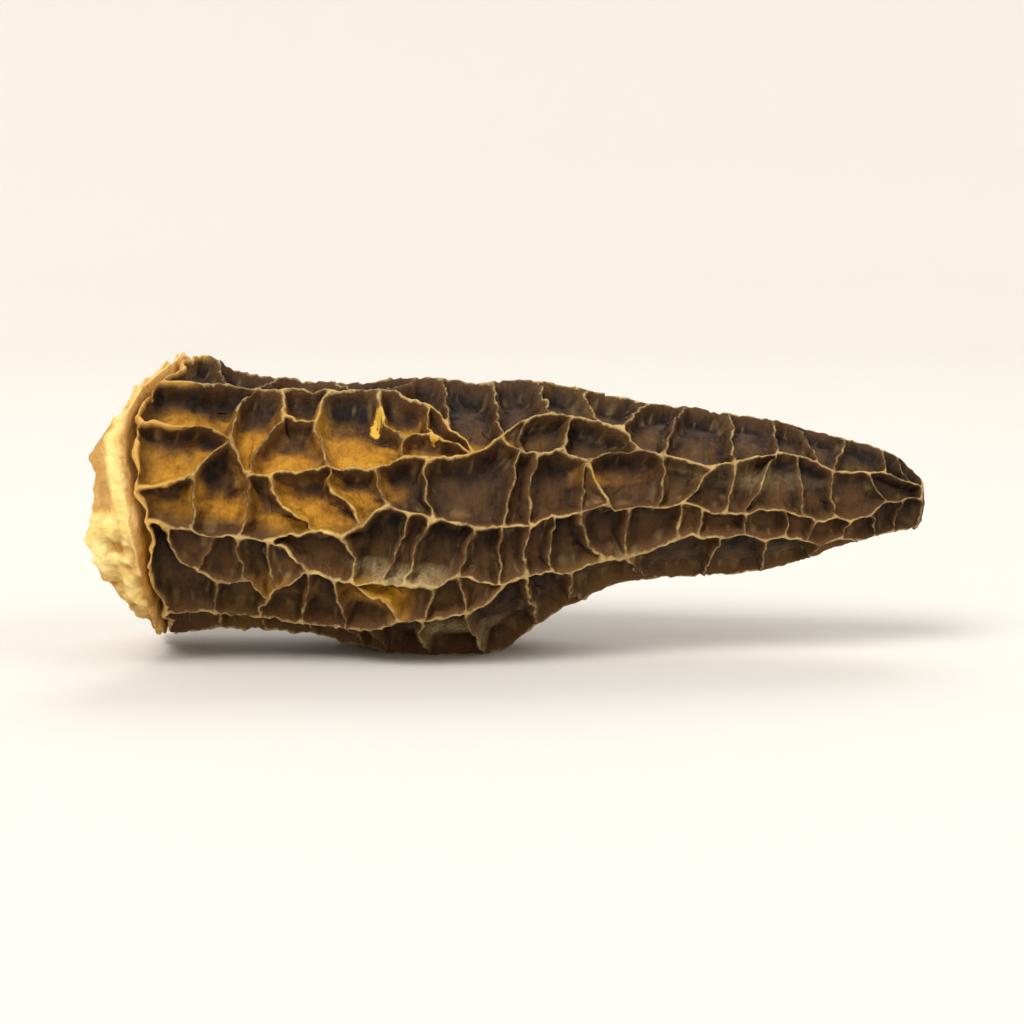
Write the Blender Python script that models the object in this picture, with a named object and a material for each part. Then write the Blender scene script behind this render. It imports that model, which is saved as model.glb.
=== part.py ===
# One dried black morel, lying on its side: the hollow cap with its raised net of ridges,
# and the torn collar of stem that is left in the cap's mouth.
#
# The cap is drawn first as a flat map of its ridges. Along the map runs x, in mm from the
# cap's lower edge to its tip. Across it runs the angle round the cap, in degrees: 0 on the
# side that faces -Y, 90 on top, -90 underneath. Each closed loop of the map is one pit, which
# gets a crest and a wall. The map is then wrapped round the form of the cap.

import math
import random

import bmesh
import bpy
from mathutils import Vector
from mathutils.geometry import delaunay_2d_cdt

MM = 0.001
SEED = 11

# The form of the cap in mm: distance from the lower edge, height of the centre line,
# half height and half depth of the section there.
CAP_FORM = [
    (-9.0, -0.9, 14.9, 14.2),
    (0.0, 0.0, 15.3, 14.4),
    (6.0, 0.2, 13.9, 13.4),
    (12.0, 0.7, 13.6, 13.0),
    (18.0, 1.1, 14.1, 13.3),
    (25.0, 1.3, 15.0, 13.7),
    (31.0, 1.8, 14.9, 13.5),
    (35.5, 2.7, 14.8, 12.8),
    (40.0, 4.7, 12.8, 11.7),
    (47.0, 7.3, 10.0, 9.8),
    (53.0, 8.2, 9.2, 8.7),
    (61.0, 9.1, 8.2, 7.7),
    (67.0, 10.0, 6.7, 6.4),
    (72.0, 11.1, 5.1, 4.8),
    (75.0, 11.3, 3.9, 3.7),
    (77.4, 10.9, 2.7, 2.6),
]
CROWN = 77.4  # x of the ring of ridges round the tip
WAVES = [(2, 0.018, 0.6), (3, 0.026, 2.1), (5, 0.014, 4.0)]  # round the cap: count, share, phase
LIE_DOWN = math.radians(8.5)  # the whole is turned this far, tip down, so that its belly rests
SETTLED = 0.85  # height of the lowest crests that has been pressed flat

# The long ridges of the side that shows: (x, height) points in mm where they stand when seen from
# the side, the ridge that each starts on, and the one that it ends on.
SEEN_RIDGES = {
    "B": (
        [(-3, 9.0), (1.9, 9.2), (5.8, 9.5), (7.5, 5.9), (11.9, 5.8), (17.5, 7.5), (21.4, 8.0), (23.8, 9.5),
         (28.9, 10.1), (31.4, 11.1), (35, 14.4), (40.1, 15.6), (45.2, 14.7), (48.7, 12.8), (50.6, 13.2),
         (54.5, 12.4), (58.9, 13.9), (60.8, 14.8), (63.9, 14.9), (67.0, 13.7), (69.8, 13.8), (72.6, 14.2),
         (75.0, 13.3), (77.4, 13.0)],
        "", "",
    ),
    "D": (
        [(0, -0.3), (3.6, -1.0), (5.0, -1.5), (7, -1.0), (10.2, -1.1), (13.6, 0.0), (17.5, 1.1), (20.3, 1.4),
         (22.6, 4.5), (23.5, 5.2), (25.9, 3.9), (31.5, 3.9), (34.7, 4.2), (37.4, 4.6), (39.3, 5.7),
         (43.2, 6.4), (45.2, 7.4), (50.8, 7.2), (52.7, 8.9), (55.2, 7.6), (58.9, 7.9), (61.2, 9.4),
         (63.9, 8.9), (66.1, 8.0), (68, 8.8), (70.5, 8.9), (71.8, 9.2), (73.7, 11.2), (75.6, 11.6),
         (77.4, 11.8)],
        "", "",
    ),
    "A": (
        [(-1.4, 12.9), (1.9, 12.9), (5.8, 13.3), (9.7, 13.4), (15.2, 14.2), (19.3, 14.7), (22.6, 14.8),
         (25.5, 14.4), (27.7, 12.9), (31.6, 11.4)],
        "", "B",
    ),
    "R": ([(-0.6, 2.6), (2.3, 4.3), (4.2, 4.7), (7.4, 5.6)], "", "B"),
    "C": ([(32.2, 11.7), (35.4, 11.7), (41.6, 11.8), (43.2, 10.3), (45.2, 7.6)], "B", "D"),
    "E": (
        [(11.6, -0.8), (13.2, -1.4), (14.4, -2.6), (16.4, -3.7), (19.1, -4.0), (25.3, -3.5), (29.2, -2.6),
         (31.3, -1.3), (33.9, -1.8), (35.8, -2.1), (38.6, -0.4), (41.3, -0.6), (44.4, 1.0), (48.7, 2.1),
         (51.8, 4.4), (55, 5.2), (59.5, 6.1), (64.7, 6.0), (66.3, 5.4), (69, 6.7), (72.4, 6.8),
         (75, 7.8), (77.4, 8.7)],
        "D", "",
    ),
    "F": (
        [(1.9, -10.4), (6.2, -10.1), (10.5, -9.7), (17.5, -9.7), (23.8, -8.6), (25.7, -7.1), (28.9, -6.5),
         (31.6, -6.1), (34, -4.4), (36.4, -2.0)],
        "", "E",
    ),
}
# The ridges of the other side: (x, angle) points.
FAR_RIDGES = {
    "G": ([(0, -76), (10, -79), (20, -75), (30, -75), (38, -77), (50, -80), (62, -83), (77.4, -97)], "", ""),
    "H": (
        [(0, -112), (9, -104), (19, -107), (30, -105), (38, -108), (48, -118), (60, -126), (77.4, -142)],
        "", "",
    ),
    "I": ([(0, -146), (12, -141), (22, -147), (33, -143), (45, -152), (57, -161), (77.4, -187)], "", ""),
    "L": ([(0, 101), (12, 107), (23, 103), (35, 96), (46, 101), (58, 104), (66, 96), (77.4, 86)], "", ""),
    "K": ([(0, 147), (11, 141), (22, 147), (34, 150), (44, 144), (52, 132), (58, 118)], "", "L"),
}
# The ridge J is where the map is cut open: it stands at both sides of it, a full turn apart.
SEAM = [(0, -181), (10, -175), (21, -182), (33, -178), (44, -187), (56, -200), (66, -214), (77.4, -232)]

# The bent cross ridges of the side that shows: the ridge and x that each starts at, those that it
# ends at, and the (x, height) points between.
ARCS = {
    "T": ("E", 16.4, "F", 11.2, [(14.6, -4.9), (13.4, -6.2), (12.4, -7.2), (11.6, -8.2)]),
    "S": ("D", 2.2, "T", 12.2, [(2.8, -3.4), (4.4, -5.6), (7.2, -5.9), (9.9, -5.5), (11.2, -6.5)]),
    "V": ("A", 19.6, "B", 31.0, [(20.9, 11.9), (23.4, 11.2), (26.2, 11.9), (28.6, 11.4)]),
    "W": ("A", 9.6, "A", 16.0, [(11.1, 11.4), (12.6, 11.1), (14.2, 11.4)]),
    "X": ("B", 11.3, "D", 17.0, [(11.9, 3.7), (12.9, 2.4), (14.6, 1.6)]),
    "Y": ("E", 20.9, "F", 25.6, [(22.3, -5.0), (23.6, -5.2), (24.7, -6.1)]),
    "Z": ("B", 16.0, "D", 21.2, [(16.1, 5.7), (17.4, 4.9), (19.2, 3.8)]),
}

# The straight cross ridges of the side that shows: from one ridge at x to the next at x.
CROSSINGS = [
    ("A", 7.6, "B", 5.8), ("W", 11.1, "B", 9.8), ("W", 14.2, "B", 15.0),
    ("V", 23.4, "B", 24.0), ("A", 24.4, "V", 25.4), ("R", 3.6, "D", 4.4), ("B", 7.6, "D", 10.0),
    ("B", 21.2, "D", 23.0), ("B", 27.2, "D", 28.4), ("B", 36.4, "C", 35.8), ("B", 40.8, "C", 40.6),
    ("C", 34.4, "D", 34.6), ("C", 38.0, "D", 37.6), ("C", 41.4, "D", 41.0), ("B", 48.4, "C", 43.2),
    ("B", 50.4, "D", 48.6), ("B", 54.2, "D", 53.0), ("B", 57.2, "D", 56.0), ("B", 60.8, "D", 60.0),
    ("B", 64.0, "D", 64.8), ("B", 67.0, "D", 67.6), ("B", 71.0, "D", 73.7), ("D", 75.2, "E", 75.2),
    ("D", 18.0, "E", 20.4), ("D", 24.4, "E", 23.6), ("D", 27.4, "E", 27.0), ("D", 31.0, "E", 31.2),
    ("D", 34.8, "E", 34.4), ("D", 37.4, "E", 38.0), ("D", 40.2, "E", 41.2), ("D", 43.4, "E", 44.0),
    ("D", 47.2, "E", 46.6), ("D", 51.0, "E", 51.6), ("D", 55.2, "E", 55.6), ("D", 59.6, "E", 59.4),
    ("D", 63.0, "E", 62.6), ("D", 66.4, "E", 65.4), ("D", 69.4, "E", 69.0), ("D", 71.6, "E", 72.4),
    ("D", 5.4, "S", 5.0), ("D", 8.8, "S", 9.2), ("D", 11.8, "T", 13.4), ("S", 6.0, "F", 6.6),
    ("E", 16.6, "F", 15.8), ("E", 19.0, "F", 20.2), ("E", 27.8, "F", 28.2), ("E", 31.2, "F", 31.4),
    ("F", 5.6, "G", 6.4), ("F", 11.4, "G", 12.0), ("F", 16.4, "G", 17.2), ("F", 20.6, "G", 21.2),
    ("F", 23.6, "G", 25.0), ("F", 28.2, "G", 29.8), ("F", 33.2, "G", 34.8), ("E", 38.4, "G", 39.4),
    ("E", 43.8, "G", 44.6), ("E", 48.7, "G", 52.2), ("E", 56.6, "G", 57.2), ("E", 62.2, "G", 61.8),
    ("E", 67.2, "G", 66.4), ("E", 71.8, "G", 71.0), ("G", 22.0, "H", 21.0), ("G", 28.0, "H", 29.0),
    ("G", 35.4, "H", 34.6), ("A", 27.6, "L", 27.0), ("B", 33.8, "L", 32.4),
]
# The lanes of the other side, which are crossed at seeded places: two ridges, from x to x.
LANES = [
    ("G", "H", 0, 18), ("G", "H", 38, 78), ("H", "I", 0, 78), ("I", "J", 0, 78), ("L", "A", 0, 25),
    ("L", "B", 34, 78), ("K", "L", 0, 57), ("J2", "K", 0, 57), ("J2", "L", 59, 78),
]
LANE_STEP = 5.8  # mm between the cross ridges of a lane, before its jitter

# The sizes of the net in mm.
ROW_STEP = 2.4  # between the points of a ridge
CREST_SIDE = 0.42  # from the middle of a crest to its side
CREST_FALL = 0.12  # from the top of a crest down to its sides
WALL_LEAN = 0.7
PIT_DEPTH = 2.2
FLOOR_DISH = 0.25
CROSS_SAG = 0.75  # a straight cross ridge is this much lower in its middle
ARC_SAG = 0.3
UNEVEN = 0.28  # the long ridges rise and fall by this much
WALL = 3.4  # from the crests to the inside of the cap
EASE_SEEN = 0.15  # how far each point of the net is drawn to the middle of its neighbours
EASE_HIDDEN = 0.55

# The lower edge of the cap, and how far the torn collar stands out of it, by angle.
EDGE = [(-90, 2.4), (-57, 2.4), (-23, 1.0), (-6, -0.1), (18, -2.2), (34, -3.2), (52, -2.6), (80, -0.3),
        (130, 0.9), (180, 0.2), (225, 1.4)]
EDGE_STEP = 3.0  # mm between the points of that edge
COLLAR_OUT = [(-90, 1.7), (-66, 2.6), (-44, 3.9), (-31, 5.7), (-22, 6.8), (-8, 6.0), (6, 5.5), (21, 4.9),
              (33, 3.7), (44, 1.9), (56, 2.0), (72, 1.7), (90, 1.6), (120, 2.6), (160, 4.4), (200, 3.2),
              (240, 3.2)]
COLLAR_COLUMNS = 60
COLLAR_TORN = 0.7  # the torn edge comes and goes by this much
LIP = 0.85  # from the cap's edge to where the collar comes up out of the mouth
# The section of the collar, from its root to its torn edge and back inside: mm past the cap's edge,
# share of what stands out beyond the lip, mm below the crests, and how uneven it is there.
COLLAR_SECTION = [
    (-4.5, 0.0, 3.75, 0.0),
    (-0.6, 0.0, 3.75, 0.0),
    (0.6, 0.0, 2.9, 0.0),
    (LIP, 0.0, 0.7, 0.15),
    (LIP, 0.28, 0.1, 0.35),
    (LIP, 0.5, 0.65, 0.2),
    (LIP, 0.78, 0.3, 0.35),
    (LIP, 1.0, 0.8, 0.2),
    (LIP, 0.98, 2.1, 0.0),
    (LIP, 0.5, 3.1, 0.2),
    (0.2, 0.0, 4.8, 0.0),
    (-4.5, 0.0, 4.95, 0.0),
]
HOLLOW = [1.6, 7.0, 16.0, 27.0, 38.0, 49.0, 60.0, 68.0]  # x of the rings of the inner surface

dice = random.Random(SEED)


def through(points, x, column=1):
    """The value at x of a smooth curve through points that are sorted by their first number."""
    last = len(points) - 1
    x = min(max(x, points[0][0]), points[last][0])
    i = max(k for k in range(last) if points[k][0] <= x)

    def slope(k):
        a = points[max(k - 1, 0)]
        b = points[min(k + 1, last)]
        return (b[column] - a[column]) / (b[0] - a[0])

    span = points[i + 1][0] - points[i][0]
    t = (x - points[i][0]) / span
    start = points[i][column] * (1 + 2 * t) * (1 - t) ** 2 + slope(i) * span * t * (1 - t) ** 2
    end = points[i + 1][column] * t * t * (3 - 2 * t) - slope(i + 1) * span * t * t * (1 - t)
    return start + end


def round_mouth(points, angle):
    """The same for a ring of points given by angle."""
    ring = [(a + turn, v) for turn in (-360, 0, 360) for a, v in points]
    return through(ring, (angle + 180) % 360 - 180)


def finer(x):
    """The net's share of its full size at x: smaller toward the tip."""
    return 1 - 0.5 * min(max((x - 46) / 30, 0), 1)


def swell(x, turn):
    """How much larger than the plain form the waves make it, at x and this turn."""
    return 1 + sum(share * math.sin(count * turn + phase + x * 0.03) for count, share, phase in WAVES)


def angle_at(x, height):
    """The angle at which the side that shows has this height at x."""
    angle = 0.0
    for _ in range(4):
        high = through(CAP_FORM, x, 2) * swell(x, math.radians(angle))
        share = (height - through(CAP_FORM, x)) / high
        angle = math.degrees(math.asin(min(max(share, -0.97), 0.97)))
    return angle


def wrapped(x, angle, below):
    """The point in mm that lies this far below the crests, at x and angle of the map."""
    turn = math.radians(angle)
    wave = swell(x, turn)
    high = through(CAP_FORM, x, 2) * wave
    deep = through(CAP_FORM, x, 3) * wave
    slope = (through(CAP_FORM, x + 0.5, 2) - through(CAP_FORM, x - 0.5, 2)) * wave
    outward = Vector((-slope * 0.8, -math.cos(turn) * high, math.sin(turn) * deep))
    outward.yz /= outward.yz.length
    outward.normalize()
    on_form = Vector((x, -math.cos(turn) * deep, through(CAP_FORM, x) + math.sin(turn) * high))
    point = on_form - outward * below
    return Vector((
        point.x * math.cos(LIE_DOWN) + point.z * math.sin(LIE_DOWN),
        point.y,
        point.z * math.cos(LIE_DOWN) - point.x * math.sin(LIE_DOWN),
    ))


class Map:
    """The flat map: points (x, angle, height against the crests) and the edges between them."""

    def __init__(self):
        self.points = []
        self.edges = set()
        self.ridge = {}

    def add(self, x, angle, height=0.0):
        self.points.append([x, angle, height])
        return len(self.points) - 1

    def join(self, chain):
        self.edges.update(zip(chain, chain[1:]))

    def nearest(self, name, x):
        return min(self.ridge[name], key=lambda v: abs(self.points[v][0] - x))

    def draw_ridge(self, name, course, starts_on, ends_on):
        end = course[-1][0]
        if starts_on:
            chain = [self.nearest(starts_on, course[0][0])]
            x = self.points[chain[0]][0]
        else:
            x = round_mouth(EDGE, course[0][1])
            chain = [self.add(x, course[0][1])]
        while True:
            x += ROW_STEP * finer(x) ** 0.6 * dice.uniform(0.85, 1.15)
            if x > end - 0.6 * ROW_STEP * finer(x):
                break
            low = dice.uniform(-UNEVEN, 0.3 * UNEVEN) * finer(x)
            chain.append(self.add(x, through(course, x), low))
        if ends_on:
            chain.append(self.nearest(ends_on, end))
        else:
            chain.append(self.add(end, course[-1][1]))
        self.ridge[name] = chain
        self.join(chain)

    def draw_arc(self, name, one, x_one, other, x_other, bends):
        chain = [self.nearest(one, x_one)]
        chain += [self.add(x, angle_at(x, height), -ARC_SAG * finer(x)) for x, height in bends]
        chain.append(self.nearest(other, x_other))
        self.ridge[name] = chain
        self.join(chain)

    def draw_crossing(self, one, x_one, other, x_other):
        a = self.nearest(one, x_one)
        b = self.nearest(other, x_other)
        xa, angle_a, _ = self.points[a]
        xb, angle_b, _ = self.points[b]
        round_way = math.radians(abs(angle_b - angle_a)) * through(CAP_FORM, (xa + xb) / 2, 2)
        inner = max(1, round(math.hypot(xb - xa, round_way) / (ROW_STEP * finer(xa))) - 1)
        bow = dice.uniform(-0.8, 0.8) * finer(xa)
        chain = [a]
        for i in range(inner):
            t = (i + 1) / (inner + 1)
            lift = math.sin(math.pi * t)
            chain.append(self.add(
                xa + (xb - xa) * t + bow * lift,
                angle_a + (angle_b - angle_a) * t,
                -CROSS_SAG * lift * finer(xa),
            ))
        self.join(chain + [b])


def draw_net():
    """The whole map of ridges."""
    net = Map()
    net.draw_ridge("J", SEAM, "", "")
    net.ridge["J2"] = [net.add(x, angle + 360, height) for x, angle, height in net.points[:]]
    net.join(net.ridge["J2"])
    for name, (course, starts_on, ends_on) in SEEN_RIDGES.items():
        net.draw_ridge(name, [(x, angle_at(x, height)) for x, height in course], starts_on, ends_on)
    for name, ridge in FAR_RIDGES.items():
        net.draw_ridge(name, *ridge)
    for name, arc in ARCS.items():
        net.draw_arc(name, *arc)
    for crossing in CROSSINGS:
        net.draw_crossing(*crossing)
    for one, other, start, end in LANES:
        x = start + LANE_STEP * dice.uniform(0.5, 0.9)
        while x < end - 2.5:
            skew = dice.uniform(-1.6, 1.6) * finer(x)
            net.draw_crossing(one, x + skew, other, x - skew)
            x += LANE_STEP * finer(x) * dice.uniform(0.75, 1.25)
    return net


def ease(net):
    """Draws the ridges taut, so that they bend toward the cross ridges that meet them."""
    around = {}
    for v, w in net.edges:
        around.setdefault(v, []).append(w)
        around.setdefault(w, []).append(v)
    fixed = set(net.ridge["J"] + net.ridge["J2"])
    fixed.update(chain[end] for chain in net.ridge.values() for end in (0, -1))
    for _ in range(2):
        moved = {}
        for v, others in around.items():
            x, angle, _ = net.points[v]
            pull = EASE_SEEN if -58 < angle < 70 else EASE_HIDDEN
            if v not in fixed:
                mean_x = sum(net.points[w][0] for w in others) / len(others)
                mean_angle = sum(net.points[w][1] for w in others) / len(others)
                moved[v] = (x + (mean_x - x) * pull, angle + (mean_angle - angle) * pull)
        for v, place in moved.items():
            net.points[v][:2] = place


def close_ends(net):
    """Joins the ridges' first points along the lower edge, and their last ones round the tip."""
    starts = [chain[0] for chain in net.ridge.values()]
    firsts = sorted((net.points[v][1], v) for v in starts if on_edge(net, v))
    for (angle, v), (next_angle, w) in zip(firsts, firsts[1:]):
        parts = max(1, round(math.radians(next_angle - angle) * 15 / EDGE_STEP))
        chain = [v]
        for i in range(1, parts):
            at = angle + (next_angle - angle) * i / parts
            chain.append(net.add(round_mouth(EDGE, at), at, -0.25))
        net.join(chain + [w])
    ends = [chain[-1] for chain in net.ridge.values()]
    lasts = sorted((net.points[v][1], v) for v in ends if net.points[v][0] == CROWN)
    net.join([v for _, v in lasts])


def on_edge(net, v):
    x, angle, _ = net.points[v]
    return abs(x - round_mouth(EDGE, angle)) < 1e-6


def flat_mesh(net):
    """The map as a mesh of pits. Its y is the angle in degrees, and its z the height."""
    flat = [Vector((x, angle * 0.25)) for x, angle, _ in net.points]
    found, _, faces, sources, _, _ = delaunay_2d_cdt(flat, sorted(net.edges), [], 3, 1e-6)
    bm = bmesh.new()
    for point, source in zip(found, sources):
        height = net.points[source[0]][2] if source else 0.0
        bm.verts.new((point.x, point.y / 0.25, height))
    bm.verts.ensure_lookup_table()
    for face in faces:
        bm.faces.new([bm.verts[v] for v in face])
    bmesh.ops.recalc_face_normals(bm, faces=bm.faces[:])
    if bm.faces[0].normal.z < 0:
        bmesh.ops.reverse_faces(bm, faces=bm.faces[:])
    return bm


def inward_steps(ring, reach, share):
    """For each corner of a pit, the way in, at most this far and this share of the room across."""
    steps = []
    count = len(ring)
    for i, corner in enumerate(ring):
        before = (corner - ring[i - 1]).normalized()
        after = (ring[(i + 1) % count] - corner).normalized()
        way = Vector((-before.y - after.y, before.x + after.x))
        if way.length < 1e-6:
            steps.append(Vector((0, 0)))
            continue
        way.normalize()
        straight = max(0.6, way.dot(Vector((-after.y, after.x))))
        room = 100.0
        for k in range(count):
            a = ring[k]
            b = ring[(k + 1) % count]
            if i in (k, (k + 1) % count):
                continue
            side = b - a
            across = way.x * side.y - way.y * side.x
            if abs(across) < 1e-9:
                continue
            gap = a - corner
            far = (gap.x * side.y - gap.y * side.x) / across
            along = (gap.x * way.y - gap.y * way.x) / across
            if far > 1e-6 and -1e-6 <= along <= 1 + 1e-6:
                room = min(room, far)
        steps.append(way * min(reach / straight, share * room))
    return steps


def sink_ring(bm, face, reach, share, fall):
    """Insets one pit of the flat map, with the new ring this far in and its height by fall."""
    middle = face.calc_center_median()
    scale = math.radians(1) * through(CAP_FORM, middle.x, 2)
    ring = [Vector((v.co.x, v.co.y * scale)) for v in face.verts]
    steps = inward_steps(ring, reach, share)
    heights = [v.co.z for v in face.verts]
    starts = [v.co.copy() for v in face.verts]
    bmesh.ops.inset_individual(bm, faces=[face], thickness=1e-4)
    for vert in face.verts:
        i = min(range(len(starts)), key=lambda k: (starts[k] - vert.co).length)
        vert.co = starts[i] + Vector((steps[i].x, steps[i].y / scale, 0))
        vert.co.z = fall(heights[i])


def sink_pits(bm):
    floors = []
    for face in bm.faces[:]:
        middle = face.calc_center_median()
        fine = finer(middle.x)
        scale = math.radians(1) * through(CAP_FORM, middle.x, 2)
        across = math.sqrt(face.calc_area() * scale)
        depth = min(PIT_DEPTH * fine, 0.45 * across) * dice.uniform(0.88, 1.05)
        sink_ring(bm, face, CREST_SIDE * fine ** 0.5, 0.16, lambda height: height - CREST_FALL)
        sink_ring(bm, face, WALL_LEAN * fine, 0.24, lambda height, d=depth: 0.4 * height - d)
        floors.append(face)
    centres = bmesh.ops.poke(bm, faces=floors)["verts"]
    for vert in centres:
        vert.co.z -= FLOOR_DISH * finer(vert.co.x)


def line_hollow(bm):
    """Turns the lower edge in and runs it up as the inner surface of the cap."""
    rim = [e for e in bm.edges if e.is_boundary and all(on_lower_edge(v) for v in e.verts)]
    rings = [(-0.35, 0.9), (-0.1, 2.1), (0.6, WALL)]
    for shift, below in rings:
        rim = drawn_on(bm, rim)
        for vert in {v for e in rim for v in e.verts}:
            vert.co = (round_mouth(EDGE, vert.co.y) + shift, vert.co.y, -below)
    for x in HOLLOW:
        rim = drawn_on(bm, rim)
        for vert in {v for e in rim for v in e.verts}:
            near = max(0.0, 1 - x / 12)
            vert.co = (x + near * round_mouth(EDGE, vert.co.y), vert.co.y, -WALL * finer(x) ** 0.4)


def on_lower_edge(vert):
    return vert.is_boundary and abs(vert.co.x - round_mouth(EDGE, vert.co.y)) < 1e-3


def drawn_on(bm, edges):
    made = bmesh.ops.extrude_edge_only(bm, edges=edges)["geom"]
    return [g for g in made if isinstance(g, bmesh.types.BMEdge)]


def wrap(bm):
    """Wraps the flat mesh round the form, in mm, and closes it along the seam."""
    for vert in bm.verts:
        vert.co = wrapped(vert.co.x, vert.co.y, -vert.co.z)
    bmesh.ops.remove_doubles(bm, verts=bm.verts[:], dist=0.002)


def make_cap():
    bm = flat_mesh(finish_net())
    sink_pits(bm)
    line_hollow(bm)
    wrap(bm)
    tip_and_end = bmesh.ops.edgeloop_fill(bm, edges=[e for e in bm.edges if e.is_boundary])["faces"]
    bmesh.ops.recalc_face_normals(bm, faces=bm.faces[:])
    tip = max(tip_and_end, key=lambda f: f.calc_center_median().x)
    bmesh.ops.inset_individual(bm, faces=[tip], thickness=0.5, depth=-0.2)
    bmesh.ops.inset_individual(bm, faces=[tip], thickness=0.5, depth=-0.9)
    bmesh.ops.triangulate(bm, faces=bm.faces[:])
    return bm


def finish_net():
    net = draw_net()
    ease(net)
    close_ends(net)
    return net


def make_collar():
    """A ring of stem flesh: a grid with the mouth along one way and the ring's section the other."""
    rows = len(COLLAR_SECTION)
    bm = bmesh.new()
    bmesh.ops.create_grid(bm, x_segments=COLLAR_COLUMNS, y_segments=rows, size=0.5)
    torn = [dice.uniform(-COLLAR_TORN, COLLAR_TORN) for _ in range(COLLAR_COLUMNS)]
    bumps = [[dice.uniform(-1, 1) for _ in range(COLLAR_COLUMNS)] for _ in range(rows)]
    for vert in bm.verts:
        column = round((vert.co.x + 0.5) * COLLAR_COLUMNS)
        row = round((vert.co.y + 0.5) * rows) % rows
        angle = column * 360 / COLLAR_COLUMNS - 180
        past, share, below, uneven = COLLAR_SECTION[row]
        out = round_mouth(COLLAR_OUT, angle)
        out += torn[column % COLLAR_COLUMNS] * min(1.0, (out - 1.4) / 3)
        past += share * (out - LIP)
        below += uneven * bumps[row][column % COLLAR_COLUMNS]
        vert.co = wrapped(round_mouth(EDGE, angle) - past, angle, below)
    bmesh.ops.remove_doubles(bm, verts=bm.verts[:], dist=0.002)
    bmesh.ops.recalc_face_normals(bm, faces=bm.faces[:])
    bmesh.ops.triangulate(bm, faces=bm.faces[:])
    return bm


def settle(meshes):
    """Presses the lowest crests flat, and moves all so that this flat lies on z = 0 under the middle."""
    verts = [v for bm in meshes for v in bm.verts]
    floor = min(v.co.z for v in verts) + SETTLED
    for vert in verts:
        vert.co.z = max(vert.co.z, floor)
    middle_x = (min(v.co.x for v in verts) + max(v.co.x for v in verts)) / 2
    middle_y = (min(v.co.y for v in verts) + max(v.co.y for v in verts)) / 2
    for vert in verts:
        vert.co = (vert.co - Vector((middle_x, middle_y, floor))) * MM


def add_object(bm, name, color, roughness):
    mesh = bpy.data.meshes.new(name)
    bm.to_mesh(mesh)
    bm.free()
    mesh.shade_smooth()
    material = bpy.data.materials.new(name)
    material.use_nodes = True
    principled = material.node_tree.nodes["Principled BSDF"]
    principled.inputs["Base Color"].default_value = (*color, 1.0)
    principled.inputs["Roughness"].default_value = roughness
    mesh.materials.append(material)
    bpy.context.collection.objects.link(bpy.data.objects.new(name, mesh))


for leftover in bpy.data.objects[:]:
    bpy.data.objects.remove(leftover)

cap = make_cap()
stub = make_collar()
settle([cap, stub])
add_object(cap, "cap", (0.13, 0.075, 0.03), 0.8)
add_object(stub, "stem_stub", (0.72, 0.55, 0.22), 0.75)
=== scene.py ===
import math
import random

import bmesh
import bpy
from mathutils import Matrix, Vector, noise
from mathutils.geometry import delaunay_2d_cdt


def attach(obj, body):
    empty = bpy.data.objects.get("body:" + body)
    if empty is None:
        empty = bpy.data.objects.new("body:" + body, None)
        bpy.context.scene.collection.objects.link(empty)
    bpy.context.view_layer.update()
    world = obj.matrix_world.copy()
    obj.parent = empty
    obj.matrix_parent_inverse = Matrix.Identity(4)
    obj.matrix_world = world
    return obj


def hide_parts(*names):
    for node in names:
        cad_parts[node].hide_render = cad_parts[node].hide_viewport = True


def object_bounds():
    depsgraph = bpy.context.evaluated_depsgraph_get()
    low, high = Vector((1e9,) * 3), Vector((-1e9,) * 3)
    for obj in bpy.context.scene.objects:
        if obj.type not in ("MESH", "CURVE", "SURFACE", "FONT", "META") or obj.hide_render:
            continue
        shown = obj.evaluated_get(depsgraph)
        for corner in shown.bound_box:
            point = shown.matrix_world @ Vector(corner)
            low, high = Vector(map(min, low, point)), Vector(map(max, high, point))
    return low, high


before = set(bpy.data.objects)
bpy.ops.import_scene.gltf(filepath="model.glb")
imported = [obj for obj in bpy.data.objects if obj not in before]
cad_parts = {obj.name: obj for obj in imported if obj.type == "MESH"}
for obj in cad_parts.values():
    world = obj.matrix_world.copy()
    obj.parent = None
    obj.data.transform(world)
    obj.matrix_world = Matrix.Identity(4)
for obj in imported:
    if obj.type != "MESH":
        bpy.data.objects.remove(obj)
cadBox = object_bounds()

mm = 0.001
dice = random.Random(11)  # the same draws as the solids, so that the net is the same
noise.seed_set(1)  # unseeded, the vectors of noise would differ from run to run

# The cap's form in mm: distance from the lower edge, centre height, half height, half depth.
capForm = [
    (-9.0, -0.9, 14.9, 14.2),
    (0.0, 0.0, 15.3, 14.4),
    (6.0, 0.2, 13.9, 13.4),
    (12.0, 0.7, 13.6, 13.0),
    (18.0, 1.1, 14.1, 13.3),
    (25.0, 1.3, 15.0, 13.7),
    (31.0, 1.8, 14.9, 13.5),
    (35.5, 2.7, 14.8, 12.8),
    (40.0, 4.7, 12.8, 11.7),
    (47.0, 7.3, 10.0, 9.8),
    (53.0, 8.2, 9.2, 8.7),
    (61.0, 9.1, 8.2, 7.7),
    (67.0, 10.0, 6.7, 6.4),
    (72.0, 11.1, 5.1, 4.8),
    (75.0, 11.3, 3.9, 3.7),
    (77.4, 10.9, 2.7, 2.6),
]
crownX = 77.4
formWaves = [(2, 0.018, 0.6), (3, 0.026, 2.1), (5, 0.014, 4.0)]  # round the cap: count, share, phase
fineFrom = 46.0  # mm up the cap where the net starts to get finer toward the tip
fineLength = 30.0
finest = 0.5
leanShare = 0.8  # share of the form's slope that the pits lean by
degreeWide = 0.25  # mm that a degree counts for in the flat map
lieDown = math.radians(8.5)  # the cap is turned down by this, onto its belly
standsAt = Vector((35.6989, -0.1096, -15.9606))  # mm: the point of the form that the origin is at

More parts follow.
